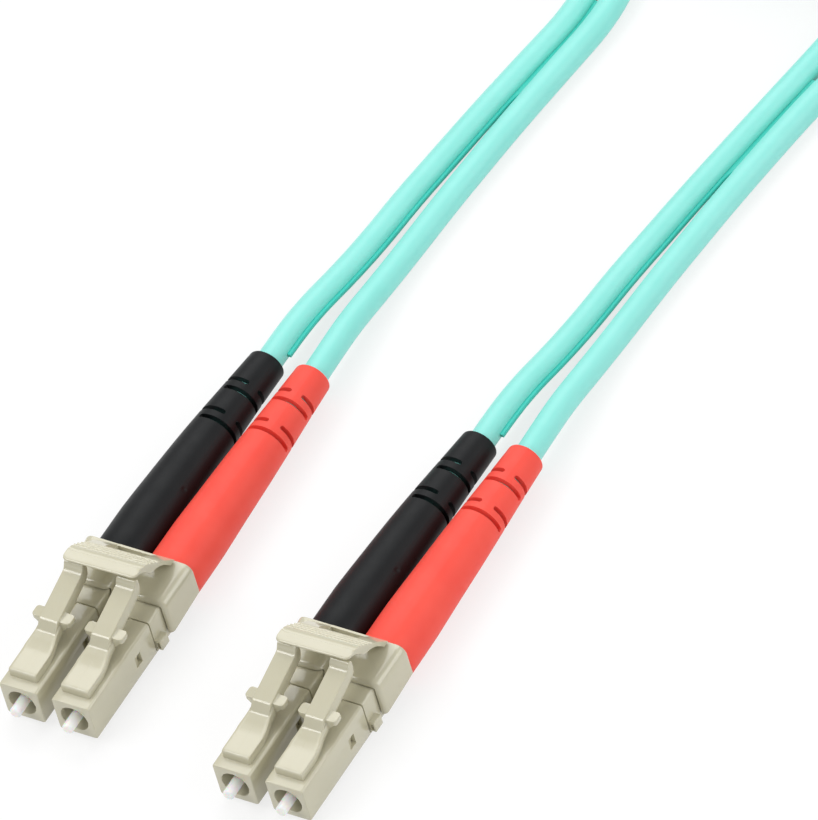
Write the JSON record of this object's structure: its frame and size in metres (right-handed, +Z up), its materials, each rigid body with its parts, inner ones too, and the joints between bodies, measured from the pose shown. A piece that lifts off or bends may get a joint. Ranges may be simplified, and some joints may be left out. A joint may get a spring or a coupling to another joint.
{
  "type": "fiber optic patch cord",
  "caption": "Duplex fiber optic patch cord: at each end two latched plugs in a joining clip, with strain reliefs and a coiled twin cord.",
  "frame": {"origin": "bottom centre of the box round the two connector ends, on the surface they lie on", "axes": "-Y along the plugs to the ferrule tips, +Y to the cord, +Z up, the latches on top"},
  "size_m": [0.0526, 0.1691, 0.0124],
  "materials": {
    "connector_plastic": "moulded, semi-gloss",
    "boot_black": "soft matte",
    "boot_red": "soft satin",
    "jacket": "satin",
    "ceramic": "polished ceramic",
    "nickel_metal": "nickel plated",
    "spring_steel": "drawn wire",
    "aramid": "loose yarn",
    "fibre_buffer": "smooth",
    "tie": "hook and loop strap"
  },
  "bodies": {
    "root": {"aramid_yarn_a_left": "aramid", "aramid_yarn_a_right": "aramid", "aramid_yarn_b_left": "aramid", "aramid_yarn_b_right": "aramid", "boot_a_left": "boot_black", "boot_a_right": "boot_red", "boot_b_left": "boot_black", "boot_b_right": "boot_red", "coil_strand_inner": "jacket", "coil_strand_outer": "jacket", "coil_tie": "tie", "crimp_sleeve_a_left": "nickel_metal", "crimp_sleeve_a_right": "nickel_metal", "crimp_sleeve_b_left": "nickel_metal", "crimp_sleeve_b_right": "nickel_metal", "duplex_clip_a": "connector_plastic", "duplex_clip_b": "connector_plastic", "ferrule_spring_a_left": "spring_steel", "ferrule_spring_a_right": "spring_steel", "ferrule_spring_b_left": "spring_steel", "ferrule_spring_b_right": "spring_steel", "jacket_end_a_left": "jacket", "jacket_end_a_right": "jacket", "jacket_end_b_left": "jacket", "jacket_end_b_right": "jacket", "lead_a_left": "jacket", "lead_a_right": "jacket", "lead_b_left": "jacket", "lead_b_right": "jacket", "plug_housing_a_left": "connector_plastic", "plug_housing_a_right": "connector_plastic", "plug_housing_b_left": "connector_plastic", "plug_housing_b_right": "connector_plastic", "rear_body_a_left": "connector_plastic", "rear_body_a_right": "connector_plastic", "rear_body_b_left": "connector_plastic", "rear_body_b_right": "connector_plastic"},
    "trigger_a": {"trigger_a": "connector_plastic"},
    "latch_a_left": {"latch_a_left": "connector_plastic"},
    "ferrule_a_left": {"ferrule_a_left": "ceramic", "ferrule_flange_a_left": "nickel_metal", "fibre_a_left": "fibre_buffer"},
    "latch_a_right": {"latch_a_right": "connector_plastic"},
    "ferrule_a_right": {"ferrule_a_right": "ceramic", "ferrule_flange_a_right": "nickel_metal", "fibre_a_right": "fibre_buffer"},
    "trigger_b": {"trigger_b": "connector_plastic"},
    "latch_b_left": {"latch_b_left": "connector_plastic"},
    "ferrule_b_left": {"ferrule_b_left": "ceramic", "ferrule_flange_b_left": "nickel_metal", "fibre_b_left": "fibre_buffer"},
    "latch_b_right": {"latch_b_right": "connector_plastic"},
    "ferrule_b_right": {"ferrule_b_right": "ceramic", "ferrule_flange_b_right": "nickel_metal", "fibre_b_right": "fibre_buffer"}
  },
  "joints": [
    {"name": "trigger_a_press", "type": "hinge", "parent": "root", "child": "trigger_a", "pos_m": [-0.01327, -0.00325, 0.00647], "axis": [1, 0, 0], "range_deg": [0, 10], "stiffness_Nm_per_rad": 0.0005, "springref_deg": -5.73},
    {"name": "latch_a_left_flex", "type": "hinge", "parent": "root", "child": "latch_a_left", "pos_m": [-0.01639, -0.01815, 0.00584], "axis": [-1, 0, 0], "range_deg": [0, 7.6], "stiffness_Nm_per_rad": 0.00025, "springref_deg": -5.73},
    {"name": "ferrule_a_left_float", "type": "slide", "parent": "root", "child": "ferrule_a_left", "axis": [0, 1, 0], "range_m": [0, 0.001], "stiffness_N_per_m": 1500, "springref_m": -0.002, "deforming": ["ferrule_spring_a_left"]},
    {"name": "latch_a_right_flex", "type": "hinge", "parent": "root", "child": "latch_a_right", "pos_m": [-0.01014, -0.01815, 0.00584], "axis": [-1, 0, 0], "range_deg": [0, 7.6], "stiffness_Nm_per_rad": 0.00025, "springref_deg": -5.73},
    {"name": "ferrule_a_right_float", "type": "slide", "parent": "root", "child": "ferrule_a_right", "axis": [0, 1, 0], "range_m": [0, 0.001], "stiffness_N_per_m": 1500, "springref_m": -0.002, "deforming": ["ferrule_spring_a_right"]},
    {"name": "trigger_b_press", "type": "hinge", "parent": "root", "child": "trigger_b", "pos_m": [0.01327, -0.00515, 0.00647], "axis": [1, 0, 0], "range_deg": [0, 10], "stiffness_Nm_per_rad": 0.0005, "springref_deg": -5.73},
    {"name": "latch_b_left_flex", "type": "hinge", "parent": "root", "child": "latch_b_left", "pos_m": [0.01014, -0.02005, 0.00584], "axis": [-1, 0, 0], "range_deg": [0, 7.6], "stiffness_Nm_per_rad": 0.00025, "springref_deg": -5.73},
    {"name": "ferrule_b_left_float", "type": "slide", "parent": "root", "child": "ferrule_b_left", "axis": [0, 1, 0], "range_m": [0, 0.001], "stiffness_N_per_m": 1500, "springref_m": -0.002, "deforming": ["ferrule_spring_b_left"]},
    {"name": "latch_b_right_flex", "type": "hinge", "parent": "root", "child": "latch_b_right", "pos_m": [0.01639, -0.02005, 0.00584], "axis": [-1, 0, 0], "range_deg": [0, 7.6], "stiffness_Nm_per_rad": 0.00025, "springref_deg": -5.73},
    {"name": "ferrule_b_right_float", "type": "slide", "parent": "root", "child": "ferrule_b_right", "axis": [0, 1, 0], "range_m": [0, 0.001], "stiffness_N_per_m": 1500, "springref_m": -0.002, "deforming": ["ferrule_spring_b_right"]}
  ],
  "couplings": [
    {"joint": "latch_a_left_flex", "follows": "trigger_a_press", "ratio": 0.74},
    {"joint": "latch_a_right_flex", "follows": "trigger_a_press", "ratio": 0.74},
    {"joint": "latch_b_left_flex", "follows": "trigger_b_press", "ratio": 0.74},
    {"joint": "latch_b_right_flex", "follows": "trigger_b_press", "ratio": 0.74}
  ]
}
